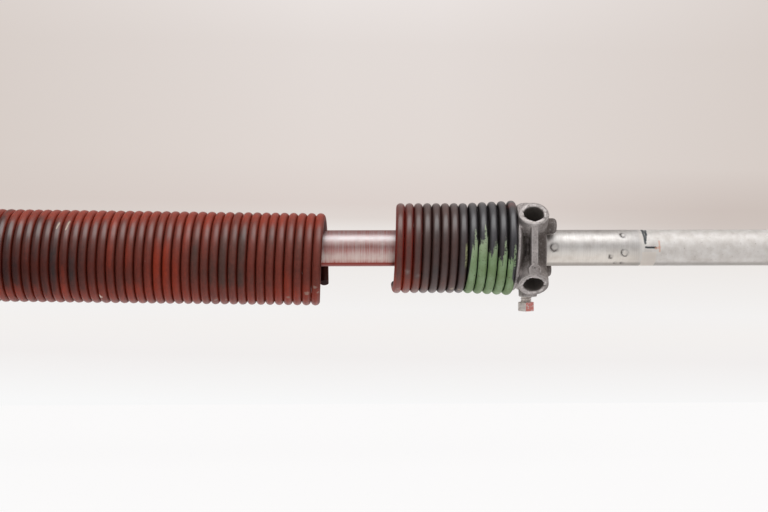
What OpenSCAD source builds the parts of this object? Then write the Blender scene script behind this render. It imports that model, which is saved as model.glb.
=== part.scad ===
// Torsion spring of a sectional door, broken in two, on its tube shaft.
// The shaft runs along +X. X = 0 is the face that the stationary cone bolts by.
// -Y is the front and +Z is up. All sizes are in millimetres.

/* [Wire and coils] */
// Diameter of the spring wire
wire_d = 6.19; // [5.2:0.01:6.6]
// Mean radius of the long section's coils
long_r = 29.36; // [28.6:0.01:31]
// Mean radius of the short section's coils
short_r = 28.65; // [28:0.01:31]
// Gap between neighbouring coils of the long section
long_gap = 0.18; // [0.08:0.01:0.6]
// Gap between neighbouring coils of the short section
short_gap = 0.06; // [0.04:0.01:0.4]
// How much slimmer the wire is on the back half-turns, so that neighbours join cleanly
half_step = 0.005; // [0.005:0.001:0.02]

/* [Long section] */
// Half-turns of the long section beyond its cone, an odd number
long_halves = 165; // [15:2:185]
// How far the broken end has dropped below the shaft's axis
sag_at_break = 7.76; // [0:0.01:9]
// Angle that the wire runs on past its last crest to the break
long_tail = 125.5; // [20:0.5:170]

/* [Short section] */
// Distance along the shaft between the two crests at the break
break_gap = 56.5; // [20:0.1:120]
// Half-turns of the short section before its cone, an odd number
short_halves = 15; // [3:2:25]
// Angle that the wire runs back from the first lower crest to the break
short_tail = 26; // [10:0.5:150]
// Angle that the wire runs on past its last crest to its cut end
short_end = 6; // [1:1:8]

/* [Seat on the cones] */
// Turns of wire that are screwed onto each cone
seat_turns = 5; // [3:1:6]
// Pitch of the thread on the cones
seat_pitch = 6.8; // [6.7:0.01:7.4]
// How much the coils widen over a seat
seat_flare = 1.7; // [0:0.05:2]
// Clearance between the last turn and the winding cone's flange
flange_clear = 0.25; // [0.2:0.01:0.6]
// Clearance between the wire and the cones
seat_clear = 0.15; // [0.1:0.01:0.3]
// Height of the thread's crest above the wire's inner side
crest_h = 1.6; // [1:0.05:2]
// Length of a cone's smooth nose ahead of its thread
nose_len = 4.5; // [3:0.1:10]

// How far the nose lies inside the coils
nose_drop = 1; // [0.5:0.1:2]
// How much the nose narrows towards its end
nose_taper = 2; // [0.5:0.1:4]

/* [Shaft] */
// Outside diameter of the tube
shaft_d = 25.4; // [24:0.1:26]
// Wall of the tube
shaft_wall = 2.1; // [1.5:0.1:4]
// Length of tube on the left of the mounting face
shaft_left = 34; // [22:1:120]
// Length of tube on the right of the winding cone
shaft_right = 168; // [40:1:400]

/* [Winding cone] */
// Radial clearance of the cone's bore on the tube
bore_clear = 0.15; // [0.1:0.01:0.4]
// Angle that the whole cone is turned, top towards the front
cone_turn = 2.5; // [-10:0.5:10]
// Length from the flange to the outer face
cone_len = 21.2; // [20:0.1:21.6]
// Radius of the flange beside the last coil
flange_r = 30; // [28:0.1:34]
// Thickness of the flange at its rim
flange_t = 1.8; // [1.4:0.1:3]
// Length over which the flange's back slopes down to the waist
flange_slope = 7.5; // [5:0.1:8]
// Distance from the flange to the axes of the bar sockets
socket_x = 11.4; // [11:0.1:14]
// Radius of the bar sockets
socket_r = 6.9; // [6.4:0.05:8]
// Depth of the bar sockets
socket_depth = 18.5; // [12:0.5:19]
// Wall round the bar sockets
socket_wall = 3.7; // [3:0.1:3.8]
// Distance from the shaft's axis to the sockets' mouths
socket_reach = 35; // [34.6:0.1:38]
// Radius of the hub at the outer face
hub_r = 21.5; // [19:0.1:24]
// Radius of the waist between the flange and the web
waist_r = 17.5; // [16.5:0.1:20]
// Distance from the shaft's axis to the flat edges of the web
web_half = 31; // [28:0.1:32]
// How far the web's corners stay below the sockets' mouths
web_sink = 0.6; // [0.3:0.1:2]
// Thickness of the web that joins the sockets
web_t = 4.6; // [3:0.1:6]
// Diameter of the round pad at the foot of the front web
pad_d = 8.6; // [7:0.1:10]
// How far the pad stands out of the web
pad_out = 0.6; // [0.3:0.1:1.5]
// Distance from the middle of the web to the pad
pad_drop = 14; // [12:0.5:15]
// Diameter of the two lugs on the outer face
lug_d = 10.9; // [8:0.1:12]
// Length of the lugs beyond the outer face
lug_len = 7.5; // [3:0.1:10]
// Distance from the shaft's axis to the lugs
lug_at = 20; // [18.5:0.1:21]
// Rounding of the lugs' ends
lug_round = 2.6; // [1:0.1:4]
// Angle round the shaft from the cone's top to its front lug
lug_angle = 38; // [30:1:50]

/* [Set screws] */
// Diameter of the set screws' thread
screw_d = 7.94; // [6:0.01:8.2]
// Length of a set screw below its head
screw_len = 25.4; // [24:0.1:30]
// Width of the square head across its flats
head_w = 7.94; // [7:0.01:11]
// Height of the square head
head_h = 6.5; // [5:0.1:8]
// How far the head's corners are bevelled off at its end
head_bevel = 0.6; // [0.2:0.1:1]
// Length of the chamfer at a set screw's point
point_len = 1.2; // [0.5:0.1:2]
// Radial clearance of a set screw in its hole
screw_clear = 0.12; // [0.08:0.01:0.3]
// Gap between a set screw's point and the tube
point_gap = 0.1; // [0.05:0.01:0.3]
// Distance from the flange to the axes of the set screws
screw_x = 9.3; // [9:0.1:10]
// Distance from the flange to the axes of the cast bosses round them
screw_boss_x = 10.5; // [10:0.1:11]
// Diameter of the cast bosses round the set screws
screw_boss_d = 13; // [11.5:0.1:14]
// Distance from the shaft's axis to the end of those bosses
screw_boss_at = 34.5; // [31:0.1:36]
// Turn of the lower screw's head about its own axis
lower_head_turn = 36; // [0:1:90]
// Turn of the rear screw's head about its own axis
rear_head_turn = 12; // [0:1:90]

/* [Stationary cone] */
// Thickness of the mounting flange
anchor_t = 9.5; // [8:0.1:14]
// Distance between the two bolt holes
anchor_span = 88.9; // [86:0.1:110]
// Diameter of the bolt holes
anchor_hole_d = 10.5; // [9:0.1:11]
// Radius of the ears round the bolt holes
ear_r = 11.5; // [10:0.1:14]
// Radius of the flange's round middle
anchor_r = 35; // [33:0.1:38]
// Radial clearance of the cone's throat round the bearing's inner race
throat_clear = 0.4; // [0.3:0.1:2]
// Diameter of the bearing's pocket
pocket_d = 42; // [40:0.1:44]

/* [Bearing] */
// Width of the bearing
bearing_w = 11; // [9:0.5:12]
// How far the bearing stands out of its pocket
bearing_out = 3; // [1:0.1:4]
// Diameter of the balls
ball_d = 5.5; // [4:0.1:5.6]
// Number of balls
ball_count = 16; // [8:1:18]
// Radial wall of the inner race, without its groove
inner_wall = 2.6; // [2.4:0.1:2.8]
// Running clearance round each ball
ball_clear = 0.05; // [0.03:0.01:0.08]
// Clearance of the races on the tube and in the pocket
race_clear = 0.1; // [0.05:0.01:0.15]

/* [Hidden] */

over = 1;                    // how far a cutter runs past what it cuts
end_angle = 20;              // how far the groove goes on past the wire's end
wire_r = wire_d/2;
shaft_r = shaft_d/2;
groove_r = wire_r + seat_clear;
groove_halves = 2;           // half-turns that the groove goes on past the seat
long_pitch = wire_d + long_gap;
short_pitch = wire_d + short_gap;
seat_halves = 2*seat_turns;
seat_len = seat_turns*seat_pitch;

// Long section, from the stationary cone to the break
long_start = anchor_t + wire_r + seat_clear;
long_root = long_start + seat_len;
long_free = long_halves*long_pitch/2;
long_last = seat_halves + long_halves;
break_x = long_root + long_free;
sag_slope = sag_at_break/long_free;

// Short section, from the break to the winding cone
short_start = break_x + break_gap - short_pitch/2;
short_root = short_start + short_halves*short_pitch/2;
short_last = short_halves + seat_halves;
end_r = short_r + seat_flare;
flange_x = short_root + seat_len - seat_pitch/4 + wire_r + flange_clear;
flange_tilt = atan(seat_pitch/4/end_r);
cone_face = flange_x + cone_len;
boss_r = socket_r + socket_wall;
socket_floor = socket_reach - socket_depth;

shaft_start = -shaft_left;
shaft_end = cone_face + shaft_right;

inner_r = shaft_r + race_clear + inner_wall;
throat_r = inner_r + throat_clear;
ball_at = (inner_r + pocket_d/2 - race_clear - inner_wall)/2;
bearing_x = -bearing_out + bearing_w/2;
pocket_depth = bearing_w - bearing_out + race_clear;

// A turn is made of two half-turns. Each is half of a ring that leans from one
// crossing of the XZ plane to the next, so neighbours meet end to end.
// Even crossings lie below the axis and odd ones above it.
function side_of(k) = k % 2 == 0 ? -1 : 1;

function long_radius(k) = long_r + seat_flare*(1 - min(1, k/seat_halves));
function long_axis_x(k) = k <= seat_halves ? long_start + k*seat_pitch/2
                                           : long_root + (k - seat_halves)*long_pitch/2;
function long_lean(k) = sag_slope*min(1, k/seat_halves);
function long_crossing(k) =
  let (x = long_axis_x(k), z = side_of(k)*long_radius(k))
  [x + long_lean(k)*z, z - sag_slope*max(0, x - long_root)];

function short_in_seat(k) = max(0, k - short_halves);
function short_radius(k) = short_r + seat_flare*short_in_seat(k)/seat_halves;
function short_crossing(k) =
  [short_start + min(k, short_halves)*short_pitch/2 + short_in_seat(k)*seat_pitch/2,
   side_of(k)*short_radius(k)];

// Turns its children from upright to a place round the shaft: 90 is the front,
// 180 is below and 270 is the back
module round_shaft(angle, x) {
  translate([x, 0, 0]) rotate([angle, 0, 0]) children();
}

// Lays a solid of revolution, drawn along Z, along the shaft
module along_shaft(x) {
  translate([x, 0, 0]) rotate([0, 90, 0]) children();
}

// Half-turn of round wire that starts at crossing p and leans towards crossing q
module half_turn(p, q, side, r, angle = 180) {
  mid = (p + q)/2;
  dir = (p - mid)/norm(p - mid);
  translate([mid[0], 0, mid[1]])
    multmatrix([[dir[0], 0, -dir[1]*side, 0],
                [0, side, 0, 0],
                [dir[1], 0, dir[0]*side, 0],
                [0, 0, 0, 1]])
      rotate_extrude(angle = angle, $fn = 96)
        translate([norm(p - mid), 0]) circle(r = side < 0 ? r : r - half_step, $fn = 32);
}

// Wire of the long section between two crossings, or the groove it leaves in its cone
module long_wire(first, last, r) {
  for (k = [first:last - 1])
    half_turn(long_crossing(k), long_crossing(k + 1), side_of(k), r);
}

module short_wire(first, last, r) {
  for (k = [first:last - 1])
    half_turn(short_crossing(k), short_crossing(k + 1), side_of(k), r);
}

module spring_long_section() {
  color([0.42, 0.13, 0.1]) {
    long_wire(0, long_last, wire_r);
    half_turn(long_crossing(long_last), long_crossing(long_last + 1), 1, wire_r, long_tail);
  }
}

module spring_short_section() {
  color([0.2, 0.17, 0.18]) {
    half_turn(short_crossing(0), short_crossing(-1), 1, wire_r, short_tail);
    short_wire(0, short_last, wire_r);
    half_turn(short_crossing(short_last), short_crossing(short_last + 1), 1, wire_r, short_end);
  }
}

// Tapered barrel that the coils are screwed onto, drawn along Z from its flange
module barrel(coil_r, bore_r) {
  foot_r = coil_r + seat_flare - wire_r + crest_h;
  tip_r = coil_r - wire_r + crest_h;
  nose_r = coil_r - wire_r - nose_drop;
  nose_z = seat_len - seat_pitch/2;
  rotate_extrude($fn = 96)
    polygon([[bore_r, -over], [foot_r, -over], [foot_r, 0], [tip_r, nose_z],
             [nose_r, nose_z + crest_h], [nose_r - nose_taper, nose_z + nose_len], [bore_r, nose_z + nose_len]]);
}

// The seated turns lie in a groove of their own shape, a clearance wider than the wire
module stationary_barrel() {
  difference() {
    along_shaft(anchor_t) barrel(long_r, throat_r);
    long_wire(0, seat_halves + groove_halves, groove_r);
  }
}

module winding_barrel() {
  difference() {
    translate([flange_x, 0, 0]) mirror([1, 0, 0]) along_shaft(0) barrel(short_r, shaft_r + bore_clear);
    short_wire(short_halves - groove_halves, short_last, groove_r);
    half_turn(short_crossing(short_last), short_crossing(short_last + 1), 1, groove_r, short_end + end_angle);
  }
}

// Flange that leans with the last turn, with a back that slopes down to the waist
module winding_flange() {
  translate([flange_x, 0, 0]) rotate([0, 90 + flange_tilt, 0])
    rotate_extrude($fn = 96)
      polygon([[0, 0], [flange_r, 0], [flange_r, flange_t], [waist_r, flange_slope], [0, flange_slope]]);
}

// Square plate with rounded corners that ties the four sockets together
module web() {
  round_shaft(cone_turn, flange_x + socket_x - web_t/2)
    intersection() {
      translate([0, -web_half, -web_half]) cube([web_t, 2*web_half, 2*web_half]);
      along_shaft(0) cylinder(r = socket_reach - web_sink, h = web_t, $fn = 96);
    }
  round_shaft(cone_turn + 90, flange_x + socket_x)
    translate([0, -pad_drop, 0]) cylinder(d = pad_d, h = web_half + pad_out, $fn = 48);
}

module lug(angle) {
  round_shaft(angle, cone_face) translate([0, 0, lug_at]) along_shaft(-over)
    rotate_extrude($fn = 48)
      polygon(concat([[0, 0], [lug_d/2, 0]],
                     [for (a = [0:15:90]) [lug_d/2 - lug_round*(1 - cos(a)),
                                           over + lug_len - lug_round*(1 - sin(a))]],
                     [[0, over + lug_len]]));
}

module winding_cone() {
  color([0.52, 0.51, 0.53])
    difference() {
      union() {
        winding_barrel();
        winding_flange();
        along_shaft(flange_x) cylinder(r = waist_r, h = cone_len - over, $fn = 96);
        along_shaft(flange_x + socket_x) cylinder(r = hub_r, h = cone_len - socket_x, $fn = 96);
        web();
        for (angle = [45:90:315])
          round_shaft(cone_turn + angle, flange_x + socket_x)
            cylinder(r = boss_r, h = socket_reach, $fn = 64);
        for (angle = [180, 270])
          round_shaft(cone_turn + angle, flange_x + screw_boss_x)
            cylinder(d = screw_boss_d, h = screw_boss_at, $fn = 48);
        for (angle = [0, 180])
          lug(cone_turn + lug_angle + angle);
      }
      along_shaft(flange_x - seat_len - nose_len) cylinder(r = shaft_r + bore_clear, h = 2*seat_len + cone_len);
      for (angle = [45:90:315])
        round_shaft(cone_turn + angle, flange_x + socket_x)
          translate([0, 0, socket_floor]) cylinder(r = socket_r, h = socket_depth + over, $fn = 64);
      for (angle = [180, 270])
        round_shaft(cone_turn + angle, flange_x + screw_x)
          cylinder(r = screw_d/2 + screw_clear, h = screw_boss_at + over, $fn = 48);
    }
}

// Set screw with a square head, drawn standing on its point
module set_screw(head_turn) {
  point_r = screw_d/2 - point_len;
  top_r = head_w/sqrt(2) - head_bevel;
  rotate_extrude($fn = 48)
    polygon([[0, 0], [point_r, 0], [screw_d/2, point_len], [screw_d/2, screw_len + over], [0, screw_len + over]]);
  translate([0, 0, screw_len]) rotate([0, 0, head_turn])
    intersection() {
      translate([-head_w/2, -head_w/2, 0]) cube([head_w, head_w, head_h]);
      cylinder(r1 = top_r + head_h, r2 = top_r, h = head_h, $fn = 48);
    }
}

module set_screw_lower() {
  color([0.62, 0.6, 0.56])
    round_shaft(cone_turn + 180, flange_x + screw_x)
      translate([0, 0, shaft_r + point_gap]) set_screw(lower_head_turn);
}

module set_screw_rear() {
  color([0.62, 0.6, 0.56])
    round_shaft(cone_turn + 270, flange_x + screw_x)
      translate([0, 0, shaft_r + point_gap]) set_screw(rear_head_turn);
}

// Plate with a round middle and two ears, one above the shaft and one below
module anchor_plate() {
  along_shaft(0) cylinder(r = anchor_r, h = anchor_t, $fn = 96);
  for (side = [-1, 1])
    along_shaft(0) translate([side*anchor_span/2, 0, 0]) cylinder(r = ear_r, h = anchor_t, $fn = 64);
  translate([0, -ear_r, -anchor_span/2]) cube([anchor_t, 2*ear_r, anchor_span]);
}

module stationary_cone() {
  color([0.55, 0.54, 0.55])
    difference() {
      union() {
        anchor_plate();
        stationary_barrel();
      }
      along_shaft(-over) cylinder(r = throat_r, h = anchor_t + seat_len + nose_len, $fn = 96);
      along_shaft(-over) cylinder(d = pocket_d, h = pocket_depth + over, $fn = 96);
      for (side = [-1, 1])
        along_shaft(-over) translate([side*anchor_span/2, 0, 0])
          cylinder(d = anchor_hole_d, h = anchor_t + 2*over, $fn = 48);
    }
}

// Ring groove that the balls run in, cut out of both races
module ball_track() {
  along_shaft(bearing_x)
    rotate_extrude($fn = 96) translate([ball_at, 0]) circle(r = ball_d/2 + ball_clear, $fn = 48);
}

module race(inside_r, outside_r) {
  difference() {
    along_shaft(-bearing_out)
      rotate_extrude($fn = 96)
        polygon([[inside_r, 0], [outside_r, 0], [outside_r, bearing_w], [inside_r, bearing_w]]);
    ball_track();
  }
}

module bearing_outer_race() {
  color([0.7, 0.7, 0.72])
    race(pocket_d/2 - race_clear - inner_wall, pocket_d/2 - race_clear);
}

module bearing_inner_race() {
  color([0.7, 0.7, 0.72]) race(shaft_r + race_clear, inner_r);
}

module bearing_balls() {
  color([0.75, 0.75, 0.78])
    for (ball = [0:ball_count - 1])
      round_shaft(ball*360/ball_count, bearing_x)
        translate([0, 0, ball_at]) sphere(d = ball_d, $fn = 48);
}

module torsion_shaft() {
  color([0.74, 0.75, 0.76])
    along_shaft(shaft_start)
      difference() {
        cylinder(r = shaft_r, h = shaft_end - shaft_start, $fn = 96);
        translate([0, 0, -over])
          cylinder(r = shaft_r - shaft_wall, h = shaft_end - shaft_start + 2*over, $fn = 96);
      }
}

torsion_shaft();
spring_long_section();
spring_short_section();
winding_cone();
set_screw_lower();
set_screw_rear();
stationary_cone();
bearing_outer_race();
bearing_inner_race();
bearing_balls();
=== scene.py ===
import math
import random

import bmesh
import bpy
import numpy as np
from mathutils import Matrix, Vector, noise


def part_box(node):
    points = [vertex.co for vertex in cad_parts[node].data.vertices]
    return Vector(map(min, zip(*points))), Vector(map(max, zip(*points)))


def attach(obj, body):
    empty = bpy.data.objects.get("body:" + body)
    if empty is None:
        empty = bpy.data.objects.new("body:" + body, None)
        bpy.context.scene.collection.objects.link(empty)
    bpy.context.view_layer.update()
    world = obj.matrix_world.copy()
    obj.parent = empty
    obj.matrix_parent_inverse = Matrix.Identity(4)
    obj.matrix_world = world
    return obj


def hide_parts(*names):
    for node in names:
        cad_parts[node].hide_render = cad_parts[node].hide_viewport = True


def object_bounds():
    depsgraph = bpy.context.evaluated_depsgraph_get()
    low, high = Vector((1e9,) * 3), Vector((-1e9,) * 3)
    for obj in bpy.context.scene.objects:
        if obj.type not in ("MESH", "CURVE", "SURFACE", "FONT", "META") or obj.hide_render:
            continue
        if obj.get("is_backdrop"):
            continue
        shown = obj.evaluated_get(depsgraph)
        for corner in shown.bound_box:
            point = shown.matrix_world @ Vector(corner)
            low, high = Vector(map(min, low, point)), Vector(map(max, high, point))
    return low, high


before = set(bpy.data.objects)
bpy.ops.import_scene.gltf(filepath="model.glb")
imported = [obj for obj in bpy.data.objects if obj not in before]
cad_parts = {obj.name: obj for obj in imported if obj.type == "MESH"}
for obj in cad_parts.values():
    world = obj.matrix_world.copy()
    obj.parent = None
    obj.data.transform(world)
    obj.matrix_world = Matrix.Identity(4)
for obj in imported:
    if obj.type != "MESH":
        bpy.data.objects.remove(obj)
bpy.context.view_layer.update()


# --------------------------------------------------------------
# Tube shaft
# One-inch steel tube with a thin zinc coat. The coat is bright up to a little past
# the winding cone and dull from there on, and it carries screw rings, dents and pen
# marks.
# --------------------------------------------------------------
scene = bpy.context.scene
MM = 0.001
shaft_low, shaft_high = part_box("torsion_shaft")
shaft_r = (shaft_high.z - shaft_low.z) / 2
shaft_wall = 2.1 * MM
shaft_chamfer = 0.35 * MM
gap_from, gap_to, gap_fade = 560 * MM, 640 * MM, 12 * MM
dull_from = 797.5 * MM


def make_piece(name, verts, faces, smooth_below=40):
    """A mesh object from points and faces, with sharp edges left where faces turn by more than an angle."""
    mesh = bpy.data.meshes.new(name)
    mesh.from_pydata([tuple(v) for v in verts], [], faces)
    mesh.validate()
    piece = bpy.data.objects.new(name, mesh)
    scene.collection.objects.link(piece)
    soften(piece, smooth_below)
    return piece


def soften(piece, smooth_below):
    mesh = piece.data
    mesh.polygons.foreach_set("use_smooth", [True] * len(mesh.polygons))
    mesh.set_sharp_from_angle(angle=math.radians(smooth_below))


def turned(profile, steps):
    """Points and faces of a ring-shaped solid: a closed (x, radius) outline turned round the X axis."""
    verts = []
    for i in range(steps):
        a = 2 * math.pi * i / steps
        for x, r in profile:
            verts.append((x, -r * math.sin(a), r * math.cos(a)))
    n = len(profile)
    faces = []
    for i in range(steps):
        j = (i + 1) % steps
        for k in range(n):
            m = (k + 1) % n
            faces.append((i * n + k, j * n + k, j * n + m, i * n + m))
    return verts, faces


def connect(tree, node, **sockets):
    """Links or sets a node's inputs. _ stands for a space, and in0, in1 are places in their list."""
    for key, value in sockets.items():
        at = int(key[2:]) if key[:2] == "in" and key[2:].isdigit() else key.replace("_", " ")
        if isinstance(value, bpy.types.NodeSocket):
            tree.links.new(value, node.inputs[at])
        else:
            node.inputs[at].default_value = value


def put(tree, kind, settings=None, **sockets):
    made = tree.nodes.new(kind)
    for key, value in (settings or {}).items():
        setattr(made, key, value)
    connect(tree, made, **sockets)
    return made


def object_place(tree):
    return put(tree, "ShaderNodeTexCoord").outputs["Object"]


def split_xyz(tree, where):
    return put(tree, "ShaderNodeSeparateXYZ", {}, Vector=where).outputs


def sums(tree, operation, a, b=0.0, clamp=False):
    settings = {"operation": operation, "use_clamp": clamp}
    return put(tree, "ShaderNodeMath", settings, in0=a, in1=b).outputs[0]


def plus(tree, a, b, clamp=False):
    return sums(tree, "ADD", a, b, clamp)


def minus(tree, a, b, clamp=False):
    return sums(tree, "SUBTRACT", a, b, clamp)


def times(tree, a, b):
    return sums(tree, "MULTIPLY", a, b)


def length_of(tree, a, b):
    """How long a flat vector with the sides a and b is."""
    return sums(tree, "SQRT", plus(tree, times(tree, a, a), times(tree, b, b)))


def swing(tree, value, size):
    """A noise value from 0 to 1 made to swing about zero, by half of size each way."""
    return times(tree, minus(tree, value, 0.5), size)


def vectors(tree, operation, a, b):
    """Vector arithmetic. A distance or a dot product comes out as a number."""
    made = put(tree, "ShaderNodeVectorMath", {"operation": operation}, in0=a, in1=b)
    return made.outputs[1 if operation in ("DISTANCE", "DOT_PRODUCT") else 0]


def blend_value(tree, amount, a, b):
    return put(tree, "ShaderNodeMix", {"data_type": "FLOAT"}, in0=amount, in2=a, in3=b).outputs[0]


def blend_colour(tree, amount, a, b):
    return put(tree, "ShaderNodeMix", {"data_type": "RGBA"}, in0=amount, in6=a, in7=b).outputs[2]


def ramp(tree, value, low, high, to_low=0.0, to_high=1.0):
    """Maps low..high onto to_low..to_high and stops there."""
    made = put(tree, "ShaderNodeMapRange", {"clamp": True}, Value=value, From_Min=low, From_Max=high,
               To_Min=to_low, To_Max=to_high)
    return made.outputs[0]


def between(tree, value, start, full, fading, end):
    """1 from full to fading, and 0 before start and after end."""
    return times(tree, ramp(tree, value, start, full), ramp(tree, value, end, fading))


def by_height(tree, height, stops):
    """A tone for each height. A stop is a height in millimetres and its colour or grey, lowest first."""
    low, high = stops[0][0], stops[-1][0]
    made = put(tree, "ShaderNodeValToRGB", {}, Fac=ramp(tree, height, low * MM, high * MM))
    elements = made.color_ramp.elements
    while len(elements) < len(stops):
        elements.new(0.5)
    for element, (z, tone) in zip(elements, stops):
        element.position = (z - low) / (high - low)
        element.color = tone if isinstance(tone, tuple) else (tone, tone, tone, 1)
    return made.outputs[0]


def bump(tree, strength, deep, height):
    """A bump's normal, deep in millimetres."""
    return put(tree, "ShaderNodeBump", {}, Strength=strength, Distance=deep * MM, Height=height).outputs[0]


def rgb(r, g, b):
    """A paint colour given as it looks on a screen, 0 to 255."""
    return tuple(((c / 255) ** 2.2) for c in (r, g, b)) + (1.0,)


def finish_of(name):
    """A new material with its Principled shader. Returns (material, node tree, shader)."""
    made = bpy.data.materials.new(name)
    made.use_nodes = True
    return made, made.node_tree, made.node_tree.nodes["Principled BSDF"]


def group_of(name, inputs, outputs):
    """A new node group with named sockets. Returns (group, the values that come in, its output node)."""
    made = bpy.data.node_groups.new(name, "ShaderNodeTree")
    kinds = {"f": "NodeSocketFloat", "c": "NodeSocketColor", "v": "NodeSocketVector"}
    for label, kind in inputs:
        made.interface.new_socket(name=label, in_out="INPUT", socket_type=kinds[kind])
    for label, kind in outputs:
        made.interface.new_socket(name=label, in_out="OUTPUT", socket_type=kinds[kind])
    return made, made.nodes.new("NodeGroupInput").outputs, made.nodes.new("NodeGroupOutput")


def place(tree, group, **sockets):
    return put(tree, "ShaderNodeGroup", {"node_tree": group}, **sockets).outputs


def fine_noise(tree, where, scale, detail=4.0, rough=0.55, stretch=(1, 1, 1)):
    if stretch != (1, 1, 1):
        where = vectors(tree, "MULTIPLY", where, stretch)
    made = put(tree, "ShaderNodeTexNoise", {}, Vector=where, Scale=scale, Detail=detail, Roughness=rough)
    return made.outputs[0]


# Turning marks and grime that bright steel carries: fine rings round X and soft blotches.
steel_wear, gin, gout = group_of("steel_wear", [("Where", "v"), ("Ring Scale", "f"), ("Blotch Scale", "f")],
                                 [("Rings", "f"), ("Blotch", "f"), ("Height", "f")])
g = steel_wear
rings = fine_noise(g, gin["Where"], gin["Ring Scale"], 3.0, 0.7, (1.0, 0.03, 0.03))
blotch = fine_noise(g, gin["Where"], gin["Blotch Scale"], 5.0, 0.6)
connect(g, gout, Rings=rings, Blotch=blotch, Height=plus(g, times(g, rings, 0.6), times(g, blotch, 0.4)))

# A round mark pressed into a surface: a ring at a centre and radius, darker on its lower left side.
round_mark, gin, gout = group_of("round_mark",
                                 [("Where", "v"), ("Centre", "v"), ("Radius", "f"), ("Width", "f")],
                                 [("Ring", "f"), ("Dark", "f")])
g = round_mark
away = vectors(g, "DISTANCE", gin["Where"], gin["Centre"])
uneven = fine_noise(g, gin["Where"], 520.0, 3.0, 0.6)
away = plus(g, away, swing(g, uneven, 2.2 * MM))
off_ring = sums(g, "ABSOLUTE", minus(g, away, gin["Radius"]))
ring = minus(g, 1.0, sums(g, "DIVIDE", off_ring, gin["Width"]), True)
offset = vectors(g, "SUBTRACT", gin["Where"], gin["Centre"])
low_side = vectors(g, "DOT_PRODUCT", offset, (-0.8, 0.0, -0.6))
darker_lower_left = ramp(g, sums(g, "DIVIDE", low_side, gin["Radius"]), -0.7, 0.4, 0.42, 1.0)
connect(g, gout, Ring=ring, Dark=times(g, ring, darker_lower_left))


def shaft_point(x, angle):
    """A point on the tube at x millimetres, with the angle measured from the top over the front."""
    a = math.radians(angle)
    return (x * MM, -shaft_r * math.sin(a), shaft_r * math.cos(a))


shaft_zinc, tree, coat = finish_of("shaft_zinc")
where = object_place(tree)
split = split_xyz(tree, where)
wear = place(tree, steel_wear, Where=where, Ring_Scale=1500.0, Blotch_Scale=160.0)
along = plus(tree, split[0], swing(tree, wear["Blotch"], 2.5 * MM))
dull = ramp(tree, along, dull_from - 3 * MM, dull_from)
bright = blend_colour(tree, wear["Rings"], rgb(194, 191, 188), rgb(236, 234, 232))
bright = blend_colour(tree, ramp(tree, wear["Blotch"], 0.45, 0.8, 0.0, 0.6), bright, rgb(166, 158, 154))
# The lower half of the bright zinc is painted a little warmer, as a painted reflection from below.
bright = blend_colour(tree, ramp(tree, split[2], 1 * MM, -7 * MM, 0.0, 0.34), bright, rgb(248, 234, 216))
chalky = blend_colour(tree, ramp(tree, wear["Blotch"], 0.3, 0.75), rgb(254, 251, 248), rgb(222, 216, 210))
speck = fine_noise(tree, where, 700.0, 3.0, 0.7)
chalky = blend_colour(tree, ramp(tree, speck, 0.62, 0.78, 0.0, 0.6), chalky, rgb(140, 128, 122))
coat_colour = blend_colour(tree, dull, bright, chalky)
# Red dust off the spring lies on the bare stretch between its two halves, with painted reflection of the red
# coils. The upper front of that stretch is painted bluish grey, which dims and cools the highlight there.
in_gap = between(tree, split[0], gap_from, gap_from + gap_fade, gap_to - gap_fade, gap_to)
painted_highlight_tone = times(tree, in_gap, ramp(tree, split[2], 3 * MM, 6 * MM, 0.0, 0.46))
coat_colour = blend_colour(tree, painted_highlight_tone, coat_colour, rgb(150, 153, 160))
# How much red each height of the stretch takes: dust and painted reflection of the red coils, full at the top
# and bottom edges and least at the highlight.
dust_and_reflection_heights = ((-12.7, 1.0), (-10.2, 1.0), (-9, 0.75), (-7.2, 0.54), (-5, 0.56), (-1.8, 0.87), (1, 0.87),
                (4, 0.55), (7, 0.13), (10, 0.6), (12.4, 1.0), (12.7, 1.0))
edge = by_height(tree, split[2], dust_and_reflection_heights)
patchy = sums(tree, "MAXIMUM", ramp(tree, wear["Rings"], 0.3, 0.65, 0.4, 1.0), ramp(tree, edge, 0.88, 1.0))
dust_and_reflection = times(tree, in_gap, times(tree, edge, patchy))
dust_and_reflection_tone = blend_colour(tree, ramp(tree, edge, 0.88, 1.0), rgb(158, 72, 67), rgb(135, 53, 43))
coat_colour = blend_colour(tree, sums(tree, "MINIMUM", dust_and_reflection, 1.0), coat_colour, dust_and_reflection_tone)
# Painted shade darkens the tube's top and underside, except on the bare stretch between the spring's halves.
painted_edge_shade = plus(tree, ramp(tree, split[2], 7.4 * MM, 12.6 * MM, 0.0, 0.6),
             ramp(tree, split[2], -9.6 * MM, -11.2 * MM), True)
painted_edge_shade = times(tree, minus(tree, painted_edge_shade, in_gap, True), ramp(tree, dull, 0.0, 1.0, 0.55, 0.45))
coat_colour = blend_colour(tree, painted_edge_shade, coat_colour, rgb(112, 104, 98))
fading = ramp(tree, along, dull_from - 23.5 * MM, dull_from)
fading = times(tree, fading, fading)
rough = plus(tree, 0.46, times(tree, wear["Blotch"], 0.08))
rough = minus(tree, rough, times(tree, in_gap, 0.13))
rough = blend_value(tree, fading, rough, 0.62)
height = times(tree, wear["Height"], 0.12)
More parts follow.
